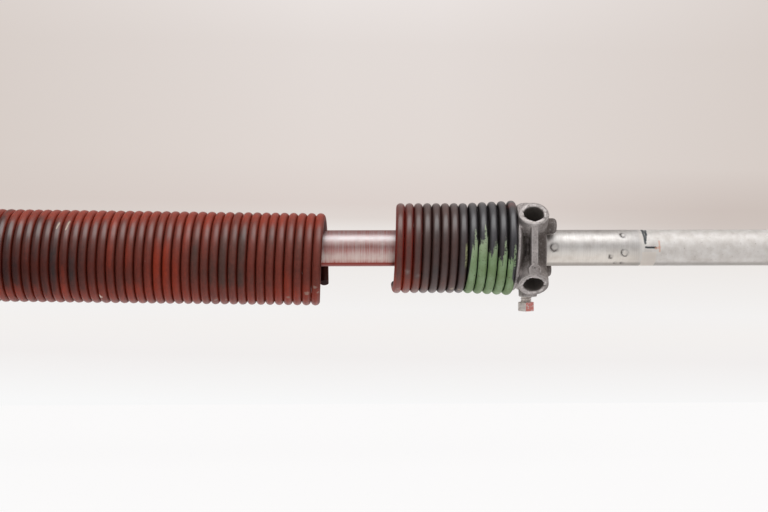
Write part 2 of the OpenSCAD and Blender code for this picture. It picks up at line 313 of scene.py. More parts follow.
# Set screw rings and dents: x, angle, radius, width of the ring and how dark it is.
dents = (
    (785.0, 106.5, 2.4, 1.2, 1.0),
    (735.6, 88.2, 2.6, 1.7, 1.0),
    (784.2, 45.7, 1.8, 1.6, 1.0),
    (775.4, 119.8, 1.1, 1.4, 1.0),
    (779.1, 147.8, 0.9, 1.1, 0.8),
    (784.0, 147.8, 1.1, 1.2, 0.8),
)
for x, angle, radius, width, dark in dents:
    mark = place(tree, round_mark, Where=where, Centre=shaft_point(x, angle), Radius=radius * MM,
                 Width=width * MM)
    height = minus(tree, height, times(tree, mark["Ring"], 1.4))
    ring_dark = times(tree, sums(tree, "POWER", mark["Dark"], 1.5), dark)
    coat_colour = blend_colour(tree, ring_dark, coat_colour, rgb(70, 64, 62))


def stroke(tree, split, x0, x1, z0, z1, width, ragged):
    """A straight stroke on the front, from (x0, z0) to (x1, z1) in millimetres."""
    dx, dz = x1 - x0, z1 - z0
    size = dx * dx + dz * dz
    past_x = minus(tree, split[0], x0 * MM)
    past_z = minus(tree, split[2], z0 * MM)
    share = plus(tree, times(tree, past_x, dx / size / MM), times(tree, past_z, dz / size / MM), True)
    away = length_of(tree, minus(tree, past_x, times(tree, share, dx * MM)),
                     minus(tree, past_z, times(tree, share, dz * MM)))
    away = plus(tree, away, swing(tree, ragged, 0.9 * MM))
    front = ramp(tree, split[1], 0.0, -2 * MM)
    return times(tree, ramp(tree, away, width * MM, width * 0.45 * MM), front)


pen_marks = (
    (798.4, 799.3, 12.0, 3.0, 0.95, rgb(52, 60, 66), 0.9),
    (800.9, 799.5, 11.8, 5.0, 0.95, rgb(58, 66, 72), 0.85),
    (799.2, 800.5, 11.9, 9.2, 1.2, rgb(52, 60, 64), 0.8),
    (799.6, 806.6, 0.2, 0.0, 0.95, rgb(40, 42, 48), 0.95),
    (806.6, 809.2, -0.4, 0.2, 1.1, rgb(238, 186, 160), 0.6),
    (809.3, 809.0, -2.6, 4.4, 0.75, rgb(232, 178, 152), 0.6),
)
for x0, x1, z0, z1, width, ink, strength in pen_marks:
    pen = times(tree, stroke(tree, split, x0, x1, z0, z1, width, speck), strength)
    coat_colour = blend_colour(tree, pen, coat_colour, ink)
# A pale dull patch lies low on the tube where the bright zinc ends.
stain = between(tree, along, 796.4 * MM, 797.2 * MM, 806.6 * MM, 807.5 * MM)
stain = times(tree, stain, ramp(tree, split[2], -2.6 * MM, -3.6 * MM))
coat_colour = blend_colour(tree, times(tree, stain, 0.9), coat_colour, rgb(255, 247, 238))
dirt = bump(tree, 0.5, 0.12, height)
metal = blend_value(tree, fading, 0.95, 0.3)
metal = times(tree, metal, minus(tree, 1.0, stain))
connect(tree, coat, Base_Color=coat_colour, Roughness=rough, Metallic=metal, Normal=dirt)

bore_r = shaft_r - shaft_wall
a, b, c = shaft_low.x, shaft_high.x, shaft_chamfer
outline = [(a, bore_r + c), (a, shaft_r - c), (a + c, shaft_r)]
outline += [(a + (b - a) * k / 24, shaft_r) for k in range(1, 24)]
outline += [(b - c, shaft_r), (b, shaft_r - c), (b, bore_r + c), (b - c, bore_r), (a + c, bore_r)]
tube = make_piece("shaft_tube", *turned(outline, 128))
tube.data.materials.append(shaft_zinc)
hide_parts("torsion_shaft")
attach(tube, "shaft")


# --------------------------------------------------------------
# Spring, long section
# Oil-tempered wire, wound left-handed and painted red. The paint is rubbed down
# to dark steel on the outside of the coils and stays thick between them. It is
# screwed onto the stationary cone, snapped at its right end, and sags there.
# --------------------------------------------------------------
long_r, long_pitch, long_turns = 29.36, 6.37, 82.5
seat_pitch, seat_turns, seat_flare = 6.8, 5, 1.7
long_start = 12.745
long_root = long_start + seat_turns * seat_pitch
sag_at_break = 7.76
long_drop = sag_at_break / (long_turns * long_pitch)
break_angle = 125.5
long_end = seat_turns + long_turns + break_angle / 360
long_wire_r = 3.19
redder_from, redder_to = 370 * MM, 480 * MM


def long_centre(turn):
    """Points on the wire's centre line in millimetres. A turn starts at the bottom and climbs the front."""
    seated = np.clip(turn, 0, seat_turns)
    x = long_start + seated * seat_pitch + np.clip(turn - seat_turns, 0, None) * long_pitch
    r = long_r + seat_flare * (1 - seated / seat_turns)
    z = -r * np.cos(2 * math.pi * turn)
    lean = long_drop * seated / seat_turns
    drop = long_drop * np.clip(x - long_root, 0, None)
    return np.stack([x + lean * z, -r * np.sin(2 * math.pi * turn), z - drop], axis=1)


def tube_quads(rows, around):
    """The quads of a tube's skin, from rows + 1 rings of points."""
    quads = []
    for i in range(rows):
        for k in range(around):
            m = (k + 1) % around
            quads.append((i * around + k, i * around + m, (i + 1) * around + m, (i + 1) * around + k))
    return quads


def wound_wire(name, centre, first, last, per_turn, around, wire_r, broken):
    """Round wire swept along a coil, with UVs that lay each turn out as one strip.

    It stores each point's turn, its lap (1 on the outside of the coil, -1 inside, 0 between coils, and -2
    on a broken end) and its side (1 on the right of the wire, -1 on the left)."""
    rings = int(round((last - first) * per_turn))
    turn = np.linspace(first, last, rings + 1)
    mid = centre(turn)
    step = 1e-3
    ahead = centre(turn + step) - centre(turn - step)
    ahead /= np.linalg.norm(ahead, axis=1)[:, None]
    out = np.stack([0 * turn, -np.sin(2 * math.pi * turn), -np.cos(2 * math.pi * turn)], axis=1)
    out -= ahead * (out * ahead).sum(1)[:, None]
    out /= np.linalg.norm(out, axis=1)[:, None]
    side = np.cross(ahead, out)
    angle = 2 * math.pi * np.arange(around) / around
    outward = np.cos(angle)[None, :, None] * out[:, None, :]
    sideways = np.sin(angle)[None, :, None] * side[:, None, :]
    ring = wire_r * (outward + sideways)
    points = (mid[:, None, :] + ring).reshape(-1, 3)
    turns = np.repeat(turn, around)
    laps = np.tile(np.cos(angle), rings + 1)
    sides = np.tile(np.sin(angle), rings + 1)
    faces = tube_quads(rings, around)
    uvs = []
    rows = math.ceil(last) - math.floor(first)
    for i in range(rings):
        u0 = (turn[i] - math.floor(turn[i] + 1e-6)) % 1.0
        row = math.floor(turn[i] + 1e-6) - math.floor(first)
        u1 = min(u0 + 1 / per_turn, 1.0)
        for k in range(around):
            v0 = (row + 0.04 + 0.92 * k / around) / rows
            v1 = (row + 0.04 + 0.92 * (k + 1) / around) / rows
            uvs += [(u0, v0), (u0, v1), (u1, v1), (u1, v0)]
    # Each end is closed by rings that shrink to a point. A broken end is a rough, slanting face.
    rng = random.Random(7)
    capped = []
    for end, at in ((0, 0), (1, rings)):
        snapped = ("first", "last")[end] in broken
        way = ahead[at] * (1 if end else -1)
        last_ring = [at * around + k for k in range(around)]
        for share in (0.82, 0.55, 0.28):
            fresh = []
            for k in range(around):
                p = mid[at] + ring[at, k] * share
                rise = 0.15 * (1 - share)
                if snapped:
                    rise = 0.55 * math.sin(angle[k] + 0.8) * share + rng.uniform(-0.22, 0.22) - 0.35
                fresh.append(len(points) + len(capped))
                capped.append(p + way * rise)
            for k in range(around):
                quad = (last_ring[k], last_ring[(k + 1) % around], fresh[(k + 1) % around], fresh[k])
                faces.append(quad[::-1] if not end else quad)
                uvs += [(0.002, 0.002)] * 4
            last_ring = fresh
        capped.append(mid[at] - way * (0.4 if snapped else -0.15))
        tip = len(points) + len(capped) - 1
        for k in range(around):
            tri = (last_ring[k], last_ring[(k + 1) % around], tip)
            faces.append(tri[::-1] if not end else tri)
            uvs += [(0.002, 0.002)] * 3
        added = len(points) + len(capped) - len(turns)
        turns = np.append(turns, [turn[at]] * added)
        laps = np.append(laps, [-2.0 if snapped else 0.0] * added)
        sides = np.append(sides, [0.0] * added)
    points = np.vstack([points, np.array(capped)]) * MM
    piece = make_piece(name, points, faces, 50)
    mesh = piece.data
    for label, values in (("turn", turns), ("lap", laps), ("side", sides)):
        mesh.attributes.new(label, "FLOAT", "POINT").data.foreach_set("value", values.astype(np.float32))
    layer = mesh.uv_layers.new(name="OFBake")
    layer.data.foreach_set("uv", np.array(uvs, dtype=np.float32).ravel())
    return piece


# Paint on spring wire: thick between the coils and fresh where it is kept, rubbed brown on the
# outside of the coils and down to bare wire in places, with streaks along the wire. Left says how much
# paint is left, and Top and Foot add to it on the tops and the undersides; the fresher red there is partly
# kept paint and partly painted light from above and below. Sheen is the full gloss, and Low Share and High
# Share are what the lower front and the tops keep of it.
wire_coat, gin, gout = group_of(
    "wire_coat",
    [("Where", "v"), ("Turn", "f"), ("Lap", "f"), ("Side", "f")]
    + [("Paint", "c"), ("Fresh", "c"), ("Rubbed", "c"), ("Bare", "c"), ("Inside", "c")]
    + [("Left", "f"), ("Top", "f"), ("Foot", "f"), ("Sheen", "f"), ("Low Share", "f"), ("High Share", "f")],
    [("Colour", "c"), ("Roughness", "f"), ("Height", "f"), ("Gloss", "f")])
g = wire_coat
# How high a point stands on its turn, from -1 at the bottom to 1 at the top.
up = times(g, sums(g, "COSINE", times(g, gin["Turn"], 2 * math.pi)), -1.0)
per_turn = put(g, "ShaderNodeTexNoise", {"noise_dimensions": "1D"}, W=gin["Turn"], Scale=1.37, Detail=2.0,
               Roughness=0.6).outputs[0]
slow = put(g, "ShaderNodeTexNoise", {"noise_dimensions": "1D"}, W=plus(g, gin["Turn"], 40.0), Scale=0.19,
           Detail=2.0, Roughness=0.5).outputs[0]
grain = fine_noise(g, gin["Where"], 420.0, 5.0, 0.65)
patch = fine_noise(g, gin["Where"], 55.0, 3.0, 0.55, (1.8, 0.7, 0.7))
lengthways = put(g, "ShaderNodeCombineXYZ", {}, X=times(g, gin["Turn"], 9.0),
                 Y=times(g, gin["Lap"], 5.0)).outputs[0]
streaky = fine_noise(g, lengthways, 1.0, 3.0, 0.6)
kept = plus(g, gin["Left"], times(g, gin["Top"], ramp(g, up, 0.6, 0.88)))
kept = plus(g, kept, times(g, gin["Foot"], ramp(g, up, -0.5, -0.88)))
for source, share in ((per_turn, 0.95), (slow, 0.7), (patch, 0.7), (streaky, 0.5), (grain, 0.15)):
    kept = plus(g, kept, swing(g, source, share))
worn = blend_colour(g, ramp(g, kept, 0.55, 0.95), gin["Rubbed"], gin["Fresh"])
stripped = ramp(g, kept, 0.42, 0.08)
worn = blend_colour(g, stripped, worn, gin["Bare"])
# Side moves the wear to the left of the crown, partly as wear and partly as painted shade on the left flanks,
# and the gloss to the right of it.
crown = minus(g, gin["Lap"], times(g, gin["Side"], 0.3))
crown = ramp(g, plus(g, crown, swing(g, streaky, 0.3)), 0.46, 0.98)
colour = blend_colour(g, crown, gin["Paint"], worn)
# The inside of the coil is painted darker, as shade.
colour = blend_colour(g, ramp(g, gin["Lap"], -0.1, -0.7), colour, gin["Inside"])
shade = ramp(g, grain, 0.3, 0.7, 0.86, 1.12)
colour = put(g, "ShaderNodeVectorMath", {"operation": "SCALE"}, in0=colour, Scale=shade).outputs[0]
rough = plus(g, ramp(g, crown, 0.0, 1.0, 0.45, 0.25), times(g, grain, 0.1))
rough = minus(g, rough, times(g, times(g, stripped, crown), 0.09))
# The upper front is glossy, and the tops and the undersides are dull.
low = plus(g, gin["Low Share"], ramp(g, up, -0.3, -0.65, 0.0, 0.16))
gloss = blend_value(g, ramp(g, up, -0.15, 0.5), low, 1.0)
gloss = blend_value(g, ramp(g, up, 0.72, 0.92), gloss, gin["High Share"])
leaning = plus(g, gin["Lap"], times(g, gin["Side"], 0.4))
gloss = times(g, gloss, ramp(g, leaning, 0.78, 0.96, 0.42, 1.0))
connect(g, gout, Colour=colour, Roughness=rough, Gloss=times(g, gloss, gin["Sheen"]),
        Height=plus(g, times(g, grain, 0.7), times(g, patch, 0.3)))


def wire_inputs(tree):
    """Where a point is, its x, y and z, and its turn, lap and side, for a wire's material."""
    where = object_place(tree)
    stored = [put(tree, "ShaderNodeAttribute", {"attribute_name": label}).outputs["Fac"]
              for label in ("turn", "lap", "side")]
    return where, split_xyz(tree, where), *stored


def dab(tree, where, centre, radius, ragged, spread=0.5):
    """A ragged spot of radius millimetres round a point given in millimetres."""
    away = vectors(tree, "DISTANCE", where, tuple(c * MM for c in centre))
    away = plus(tree, away, swing(tree, ragged, radius * 1.6 * MM))
    return ramp(tree, away, radius * MM, radius * (1 - spread) * MM)


long_coat, tree, coat = finish_of("long_coat")
where, split, turn, lap, side = wire_inputs(tree)
# Places that kept more paint (above zero) or lost it: turn, turns each way, height, height each way
# and how much.
kept_paint = (
    (61.6, 1.1, -10, 34, -0.3),
    (70.9, 2.2, -16, 36, 0.36),
    (59.0, 0.7, -14, 26, -0.2),
    (74.6, 0.7, -4, 40, -0.25),
    (77.0, 0.6, -14, 26, -0.25),
    (79.2, 0.6, -8, 30, -0.2),
    (82.2, 1.2, 28, 16, 0.3),
    (66.5, 4.0, 28, 10, 0.2),
    (84.5, 3.0, -30, 14, 0.2),
    (55.0, 4.0, 2, 30, -0.12),
    (58.0, 1.5, 30, 10, 0.3),
    (77.0, 5.5, -16, 46, -0.17),
    (67.3, 2.8, -10, 34, 0.15),
)
left = 0.5
for middle, turns_by, z, z_by, more in kept_paint:
    ox = sums(tree, "DIVIDE", minus(tree, turn, middle), turns_by)
    oz = sums(tree, "DIVIDE", minus(tree, split[2], z * MM), z_by * MM)
    away = length_of(tree, ox, oz)
    left = plus(tree, left, ramp(tree, away, 1.0, 0.45, 0.0, more))
to_right = ramp(tree, split[0], redder_from, redder_to)
# Painted shade on the inside of the coil, darker lower down.
inside = blend_colour(tree, ramp(tree, split[2], -12 * MM, 4 * MM), rgb(60, 27, 20), rgb(104, 40, 30))
rubbed = blend_colour(tree, to_right, rgb(84, 43, 37), rgb(127, 63, 53))
# The paint between the coils is painted a lighter red on the tops and the undersides, as light from above and
# below.
paint = blend_colour(tree, ramp(tree, split[2], 6 * MM, 28 * MM), rgb(99, 45, 35), rgb(156, 64, 49))
paint = blend_colour(tree, ramp(tree, split[2], -17 * MM, -31 * MM), paint, rgb(140, 62, 48))
bare = blend_colour(tree, to_right, rgb(56, 49, 51), rgb(92, 66, 60))
coated = place(tree, wire_coat, Where=where, Turn=turn, Lap=lap, Side=minus(tree, side, 0.22),
               Paint=paint, Fresh=rgb(160, 62, 43), Rubbed=rubbed, Bare=bare, Inside=inside,
               Left=left, Top=0.48, Foot=0.5, Sheen=ramp(tree, to_right, 0, 1, 1.0, 0.67),
               Low_Share=ramp(tree, to_right, 0, 1, 0.08, 0.17), High_Share=0.28)
colour = coated["Colour"]
scuff = fine_noise(tree, where, 900.0, 4.0, 0.7)
long_scuffs = (
    ((569.2, -25.9, -26.6), 1.6, 0.5),
    ((563.6, -22.1, -30.8), 2.2, 0.5),
    ((550.4, -18.6, -33.6), 1.6, 0.45),
    ((571.0, -22.5, -30.0), 1.3, 0.45),
    ((453.7, -32.4, -8.9), 0.9, 0.6),
    ((451.1, -20.4, 18.2), 0.9, 0.6),
    ((500.2, -14.0, -35.5), 1.6, 0.5),
    ((508.0, -14.0, -36.0), 1.4, 0.45),
)
for centre, radius, strength in long_scuffs:
    spot = times(tree, dab(tree, where, centre, radius, scuff), strength)
    colour = blend_colour(tree, spot, colour, rgb(200, 182, 168))
white_chip = dab(tree, where, (420.7, -16.6, -33.2), 2.1, scuff, 0.4)
colour = blend_colour(tree, white_chip, colour, rgb(255, 238, 220))
scratches = ((393.2, 394.5, 13.8, 17.6), (399.6, 401.2, 13.0, 18.6))
for x0, x1, z0, z1 in scratches:
    scratch = times(tree, stroke(tree, split, x0, x1, z0, z1, 0.6, scuff), ramp(tree, lap, 0.1, 0.5))
    colour = blend_colour(tree, times(tree, scratch, 0.75), colour, rgb(206, 184, 158))
# The snapped face is dark and rusty.
broken_face = ramp(tree, lap, -1.2, -1.8)
colour = blend_colour(tree, broken_face, colour, rgb(50, 21, 16))
bumps = bump(tree, 0.3, 0.1, coated["Height"])
connect(tree, coat, Base_Color=colour, Roughness=coated["Roughness"], Normal=bumps, Specular_IOR_Level=0.06,
        Coat_Weight=coated["Gloss"], Coat_Roughness=0.3, Coat_IOR=1.85)

long_wire = wound_wire("spring_wire_long", long_centre, 0.0, long_end, 56, 18, long_wire_r, ("last",))
long_wire.data.materials.append(long_coat)
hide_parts("spring_long_section")
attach(long_wire, "anchor")


# --------------------------------------------------------------
# Spring, short section
# The other half of the same wire, still screwed onto the winding cone. Its paint
# is red at the break, worn to near-black steel by the cone, and the last turns
# were brushed with green paint on their lower front.
# --------------------------------------------------------------
short_r, short_pitch = 28.65, 6.25
short_start = 625.645
short_free_turns = 7.5
short_first = -26 / 360
short_last = short_free_turns + seat_turns + 6 / 360
short_wire_r = 6.19 / 2


def short_centre(turn):
    free = np.clip(turn, None, short_free_turns)
    seated = np.clip(turn - short_free_turns, 0, None)
    x = short_start + free * short_pitch + seated * seat_pitch
    r = short_r + seat_flare * seated / seat_turns
    return np.stack([x, -r * np.sin(2 * math.pi * turn), -r * np.cos(2 * math.pi * turn)], axis=1)


short_coat, tree, coat = finish_of("short_coat")
where, split, turn, lap, side = wire_inputs(tree)
ragged_turn = plus(tree, turn, swing(tree, fine_noise(tree, where, 60.0), 1.4))
to_cone = ramp(tree, ragged_turn, 0.8, 3.2)
blacker = ramp(tree, ragged_turn, 6.0, 8.0)
# The red at the broken end is painted lighter and more orange on the underside, as light from below.
red = blend_colour(tree, ramp(tree, split[2], -6 * MM, -22 * MM), rgb(126, 34, 24), rgb(166, 62, 40))


def along_short(at_break, middle, at_cone):
    """A tone for the broken end, one for the middle turns and one for those next to the cone."""
    return blend_colour(tree, to_cone, at_break, blend_colour(tree, blacker, middle, at_cone))


# The inside of the coil takes a dark painted shade.
coated = place(tree, wire_coat, Where=where, Turn=turn, Lap=lap, Side=0.0,
               Paint=along_short(red, rgb(62, 41, 37), rgb(41, 38, 39)),
               Fresh=along_short(rgb(146, 62, 44), rgb(100, 62, 54), rgb(64, 59, 60)),
               Rubbed=along_short(rgb(106, 58, 50), rgb(84, 62, 59), rgb(74, 73, 77)),
               Bare=blend_colour(tree, blacker, rgb(64, 56, 56), rgb(44, 45, 51)), Inside=rgb(46, 30, 27),
               Left=ramp(tree, turn, 0.5, 1.5, 0.2, 0.46), Top=0.05, Foot=0.62, Sheen=1.0,
               Low_Share=0.34, High_Share=0.55)
colour = coated["Colour"]
# Green paint: each turn's brushed edge starts at its own height on the front.
drip = fine_noise(tree, where, 330.0, 5.0, 0.7, (2.2, 0.5, 0.28))
chips = fine_noise(tree, where, 620.0, 4.0, 0.75)
green = 0.0
to_right_flank = ramp(tree, side, -0.1, 0.5, 0.0, 1.0)
# Each painted turn, and how high its full paint and its thin runs reach.
painted_turns = ((8, 3.0, 12.0), (9, 5.0, 13.5), (10, -1.5, 3.0), (11, -5.6, 5.0), (12, -5.6, 2.0))
for whole, top, thin in painted_turns:
    on_turn = between(tree, turn, whole - 0.06, whole - 0.02, whole + 0.44, whole + 0.5)
    line = plus(tree, split[2], swing(tree, drip, 30 * MM))
    # The brushed edge is lower on a turn's left flank than on its right, where thin runs climb above it.
    line = minus(tree, line, times(tree, to_right_flank, 5 * MM))
    painted = ramp(tree, line, (top - 2.5) * MM, (top - 3.3) * MM)
    if whole == 8:
        # The first painted turn's left side is bare above a slanting line.
        slant = plus(tree, side, times(tree, split[2], -25.0))
        painted = times(tree, painted, ramp(tree, slant, -0.36, -0.24))
    if whole == 12:
        # The last turn's right side stays bare down to its underside.
        reached = plus(tree, ramp(tree, split[2], -21 * MM, -27 * MM, 0.26, 1.2), times(tree, drip, -0.3))
        painted = times(tree, painted, ramp(tree, minus(tree, side, reached), 0.1, -0.08))
    run = ramp(tree, sums(tree, "ABSOLUTE", minus(tree, side, 0.42)), 0.3, 0.2)
    run = times(tree, run, ramp(tree, line, (thin - 3.0) * MM, (thin - 5.0) * MM))
    run = times(tree, run, ramp(tree, chips, 0.44, 0.52))
    if whole == 12:
        run = times(tree, run, ramp(tree, split[2], -15 * MM, -12 * MM))
    painted = times(tree, on_turn, sums(tree, "MAXIMUM", painted, run))
    green = sums(tree, "MAXIMUM", green, painted)
# A short yellowish streak lies on the front of the turn before them.
streak = between(tree, turn, 7.17, 7.2, 7.25, 7.27)
right_flank = ramp(tree, sums(tree, "ABSOLUTE", minus(tree, side, 0.62)), 0.3, 0.18)
streak = times(tree, streak, times(tree, right_flank, ramp(tree, chips, 0.42, 0.5)))
green = times(tree, green, ramp(tree, lap, -0.1, 0.35))
green = times(tree, green, ramp(tree, chips, 0.68, 0.62))
uneven = ramp(tree, fine_noise(tree, where, 90.0), 0.35, 0.65)
leaf = blend_colour(tree, uneven, rgb(138, 166, 119), rgb(160, 190, 146))
leaf = blend_colour(tree, ramp(tree, chips, 0.55, 0.66, 0.0, 0.6), leaf, rgb(150, 156, 120))
leaf = blend_colour(tree, ramp(tree, split[2], -9 * MM, 6 * MM, 0.0, 0.7), leaf, rgb(190, 204, 172))
colour = blend_colour(tree, green, colour, leaf)
colour = blend_colour(tree, times(tree, streak, 0.8), colour, rgb(176, 182, 134))
short_scuffs = (
    ((664.0, -14.1, -28.5), 2.0, rgb(186, 168, 140), 0.75),
    ((669.0, -12.5, -29.3), 1.8, rgb(176, 150, 120), 0.75),
    ((632.2, -27.2, -16.5), 2.6, rgb(196, 176, 172), 0.35),
    ((626.5, -14.0, -28.0), 1.6, rgb(200, 160, 150), 0.4),
    ((640.2, -25.0, -19.0), 2.2, rgb(170, 156, 152), 0.3),
    ((705.5, -13.0, 29.0), 5.5, rgb(140, 82, 74), 0.5),
)
for centre, radius, tone, strength in short_scuffs:
    spot = times(tree, dab(tree, where, centre, radius, chips, 0.9), strength)
    colour = blend_colour(tree, spot, colour, tone)
colour = blend_colour(tree, ramp(tree, lap, -1.2, -1.8), colour, rgb(96, 66, 60))
thick = plus(tree, coated["Height"], times(tree, green, 0.8))
bumps = bump(tree, 0.3, 0.12, thick)
rough = blend_value(tree, green, coated["Roughness"], 0.6)
shine = times(tree, coated["Gloss"], ramp(tree, green, 0.0, 1.0, 1.0, 0.5))
connect(tree, coat, Base_Color=colour, Roughness=rough, Normal=bumps, Specular_IOR_Level=0.08,
        Coat_Weight=shine, Coat_Roughness=0.3, Coat_IOR=1.765)

short_wire = wound_wire("spring_wire_short", short_centre, short_first, short_last, 64, 24, short_wire_r,
                        ("first",))
short_wire.data.materials.append(short_coat)
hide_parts("spring_short_section")
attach(short_wire, "shaft")


# --------------------------------------------------------------
# Winding cone
# One rough aluminium casting: a threaded barrel inside the coils, a flange, four
# sockets for the winding bars tied by a web, a hub and two lugs. Its skin is dull
# and dirty, with painted shade in its hollows, and the socket mouths are battered by the bars.
# --------------------------------------------------------------
cone_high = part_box("winding_cone")[1]
cone_turn = 2.5
# Places along the shaft are measured in from the hub's end face.
cone_end = cone_high[0] / MM
socket_at, socket_r, socket_reach = cone_end - 17.3, 6.9, 35.0
flange_x, hub_x = cone_end - 28.365, cone_end - 15.665

# Cast skin: a sandy grain, light where it is clean and dark where dirt has stayed, and on the winding cone
# also where painted shade is fed in.
cast_skin, gin, gout = group_of("cast_skin", [("Where", "v"), ("Light", "c"), ("Dark", "c"), ("Dirt", "f")],
                                [("Colour", "c"), ("Roughness", "f"), ("Height", "f")])
g = cast_skin
sand = fine_noise(g, gin["Where"], 800.0, 6.0, 0.7)
cloud = fine_noise(g, gin["Where"], 110.0, 4.0, 0.6)
dirt_and_shade = plus(g, gin["Dirt"], swing(g, cloud, 1.4))
dirt_and_shade = plus(g, dirt_and_shade, swing(g, sand, 0.8), True)
connect(g, gout, Colour=blend_colour(g, dirt_and_shade, gin["Light"], gin["Dark"]),
        Roughness=ramp(g, dirt_and_shade, 0.0, 1.0, 0.42, 0.62),
        Height=plus(g, times(g, sand, 0.75), times(g, cloud, 0.25)))

cone_cast, tree, coat = finish_of("cone_cast")
where = object_place(tree)
split = split_xyz(tree, where)
reach = length_of(tree, split[1], split[2])
# Painted shade: the skin is darker nearer the axis, in the hollows between the sockets, and it is also darker
# on the hub.
painted_hollow_shade = ramp(tree, reach, 29 * MM, 23.5 * MM, 0.34, 0.92)
to_hub = ramp(tree, split[0], hub_x * MM, (hub_x + 1.4) * MM, 0.0, 0.3)
skin = place(tree, cast_skin, Where=where, Light=rgb(198, 191, 189), Dark=rgb(106, 98, 94),
             Dirt=plus(tree, painted_hollow_shade, to_hub))
# Distance from each socket's axis and depth below its mouth mark out the holes, which are an even grey,
# and their lips.
a = math.radians(cone_turn + 45)
along_one = vectors(tree, "DOT_PRODUCT", where, (0, -math.sin(a), math.cos(a)))
along_two = vectors(tree, "DOT_PRODUCT", where, (0, -math.cos(a), -math.sin(a)))
past = minus(tree, split[0], socket_at * MM)
hole = 0.0
lips = []
for along, across in ((along_one, along_two), (along_two, along_one)):
    off_axis = length_of(tree, past, across)
    depth = minus(tree, socket_reach * MM, sums(tree, "ABSOLUTE", along))
    in_hole = ramp(tree, off_axis, (socket_r + 1.2) * MM, (socket_r + 0.6) * MM)
    hole = sums(tree, "MAXIMUM", hole, times(tree, in_hole, ramp(tree, depth, 0.6 * MM, 2.2 * MM)))
    round_hole = ramp(tree, off_axis, (socket_r + 2.7) * MM, (socket_r + 1.5) * MM)
    lips.append(times(tree, round_hole, ramp(tree, depth, 1.4 * MM, 0.4 * MM)))
bumps = bump(tree, 0.55, 0.25, skin["Height"])
# Raised edges are rubbed bright and painted lighter as highlight, hollows are painted dark as shade, and the
# skin is pitted.
bend = put(tree, "ShaderNodeNewGeometry").outputs["Pointiness"]
colour = blend_colour(tree, ramp(tree, bend, 0.51, 0.58, 0.0, 0.7), skin["Colour"], rgb(222, 216, 214))
colour = blend_colour(tree, ramp(tree, bend, 0.49, 0.42, 0.0, 0.6), colour, rgb(60, 54, 51))
pits = fine_noise(tree, where, 640.0, 4.0, 0.75)
colour = blend_colour(tree, ramp(tree, pits, 0.55, 0.64, 0.0, 0.45), colour, rgb(66, 60, 58))
colour = blend_colour(tree, ramp(tree, pits, 0.43, 0.34, 0.0, 0.4), colour, rgb(216, 210, 208))
# The mouths' lips are rubbed bright in patches, partly as painted highlight.
patches = ramp(tree, fine_noise(tree, where, 300.0, 3.0, 0.6), 0.42, 0.6, 0.1, 0.75)
for lip in lips:
    colour = blend_colour(tree, times(tree, lip, patches), colour, rgb(232, 226, 224))
# A small blow hole on the web is painted near-black, as the shade inside it.
blow_hole = vectors(tree, "DISTANCE", where, (719.4 * MM, -31.6 * MM, -13.8 * MM))
colour = blend_colour(tree, ramp(tree, blow_hole, 0.9 * MM, 0.5 * MM), colour, rgb(22, 18, 18))
# The thread under the coils is painted nearly black, as the shade under the coils.
before_flange = ramp(tree, split[0], flange_x * MM, (flange_x - 2.5) * MM)
painted_shade_under_coils = times(tree, before_flange, ramp(tree, reach, 30 * MM, 29 * MM))
colour = blend_colour(tree, painted_shade_under_coils, colour, rgb(34, 33, 31))
colour = blend_colour(tree, hole, colour, rgb(124, 118, 114))
connect(tree, coat, Base_Color=colour, Roughness=skin["Roughness"], Metallic=0.5, Normal=bumps)


def cast_copy(name, node, voxel, rough_by, shape=None):
    """A softened copy of a CAD solid: sharp edges melt a little, and the skin is as uneven as a casting's."""
    piece = bpy.data.objects.new(name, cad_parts[node].data.copy())
    scene.collection.objects.link(piece)
    piece.data.materials.clear()
    melt = piece.modifiers.new("melt", "REMESH")
    melt.mode, melt.voxel_size, melt.use_smooth_shade = "VOXEL", voxel * MM, True
    ease = piece.modifiers.new("ease", "SMOOTH")
    ease.factor, ease.iterations = 0.5, 3
    graph = bpy.context.evaluated_depsgraph_get()
    mesh = bpy.data.meshes.new_from_object(piece.evaluated_get(graph))
    piece.modifiers.clear()
    piece.data = mesh
    mesh.name = name
    count = len(mesh.vertices)
    at, normal = np.empty(count * 3), np.empty(count * 3)
    mesh.vertices.foreach_get("co", at)
    mesh.vertex_normals.foreach_get("vector", normal)
    at, normal = at.reshape(-1, 3), normal.reshape(-1, 3)
    push = np.array([noise.noise(Vector(p) * 260) * 0.7 + noise.noise(Vector(p) * 700) * 0.3 for p in at])
    at = at + normal * (push * rough_by * MM)[:, None]
    if shape is not None:
        at = shape(at)
    mesh.vertices.foreach_set("co", at.ravel())
    mesh.update()
    soften(piece, 60)
    return piece


def battered_mouths(at):
    """Opens each socket's mouth unevenly, as bars have broken its inner edge."""
    lip_width, lip_depth = 1.3 * MM, 2.2 * MM
    for quarter in range(4):
        a = math.radians(cone_turn + 45 + 90 * quarter)
        axis = np.array([0, -math.sin(a), math.cos(a)])
        rel = at - np.array([socket_at * MM, 0, 0])
        depth = socket_reach * MM - rel @ axis
        flat = rel - np.outer(rel @ axis, axis)
        r = np.linalg.norm(flat, axis=1)
        near = (np.abs(r - socket_r * MM) < lip_width) & (depth < lip_depth) & (depth > -1 * MM)
        for i in np.nonzero(near)[0]:
            way = flat[i] / r[i]
            chip = noise.noise(Vector(way) * 2.6 + Vector((quarter * 3.1, 0, 0)))
            chip = max(0.0, chip + 0.6 * noise.noise(Vector(way) * 7))
            at[i] += way * chip * lip_width * (1 - depth[i] / lip_depth)
            at[i] -= axis * chip * 0.7 * MM
    return at


cone = cast_copy("cone_casting", "winding_cone", 0.62, 0.16, battered_mouths)
cone.data.materials.append(cone_cast)
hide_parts("winding_cone")
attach(cone, "shaft")


